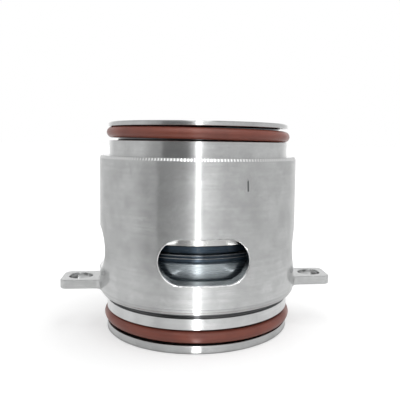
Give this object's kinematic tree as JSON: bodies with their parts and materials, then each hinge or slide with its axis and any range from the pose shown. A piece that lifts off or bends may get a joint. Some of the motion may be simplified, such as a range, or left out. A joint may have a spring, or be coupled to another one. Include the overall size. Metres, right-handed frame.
{
  "type": "double cartridge mechanical seal",
  "caption": "Double mechanical seal in a turned steel cartridge: windowed cylindrical housing, two bolting lugs, O-ring at each end, sprung seal rings on a shaft sleeve.",
  "frame": {"origin": "on the shaft axis, at the foot of the housing", "axes": "+Z along the shaft axis towards the open end with the snap ring, lugs along +X and -X"},
  "size_m": [0.1106, 0.08, 0.0826],
  "materials": {
    "turned_steel": "fine turned stainless steel",
    "bright_steel": "ground stainless steel",
    "sleeve_steel": "turned stainless steel",
    "carbide": "lapped dark silicon carbide",
    "brown_rubber": "satin red-brown fluorocarbon rubber",
    "spring_steel": "drawn spring wire",
    "dark_steel": "oiled black hardened steel"
  },
  "bodies": {
    "housing_unit": {"housing": "turned_steel", "lower_housing_o_ring": "brown_rubber", "upper_housing_o_ring": "brown_rubber", "lower_seat": "carbide", "upper_seat": "carbide", "lower_seat_o_ring": "brown_rubber", "upper_seat_o_ring": "brown_rubber", "lower_seat_pin": "bright_steel", "upper_seat_pin": "bright_steel", "snap_ring": "dark_steel"},
    "shaft_unit": {"shaft_sleeve": "sleeve_steel", "lower_shaft_o_ring": "brown_rubber", "upper_shaft_o_ring": "brown_rubber", "spring_carrier": "bright_steel", "set_screws": "dark_steel", "lower_drive_pins": "bright_steel", "upper_drive_pins": "bright_steel", "lower_springs": "spring_steel", "upper_springs": "spring_steel"},
    "lower_face_unit": {"lower_rotating_ring": "carbide", "lower_pressure_ring": "bright_steel", "lower_ring_o_ring": "brown_rubber"},
    "upper_face_unit": {"upper_rotating_ring": "carbide", "upper_pressure_ring": "bright_steel", "upper_ring_o_ring": "brown_rubber"}
  },
  "joints": [
    {"name": "shaft_spin", "type": "hinge", "parent": "housing_unit", "child": "shaft_unit", "pos_m": [0, 0, 0], "axis": [0, 0, 1], "continuous": true},
    {"name": "lower_face_float", "type": "slide", "parent": "shaft_unit", "child": "lower_face_unit", "axis": [0, 0, 1], "range_m": [0, 0.0015], "stiffness_N_per_m": 9000, "springref_m": -0.004, "deforming": ["lower_springs"]},
    {"name": "upper_face_float", "type": "slide", "parent": "shaft_unit", "child": "upper_face_unit", "axis": [0, 0, -1], "range_m": [0, 0.0015], "stiffness_N_per_m": 9000, "springref_m": -0.004, "deforming": ["upper_springs"]}
  ]
}
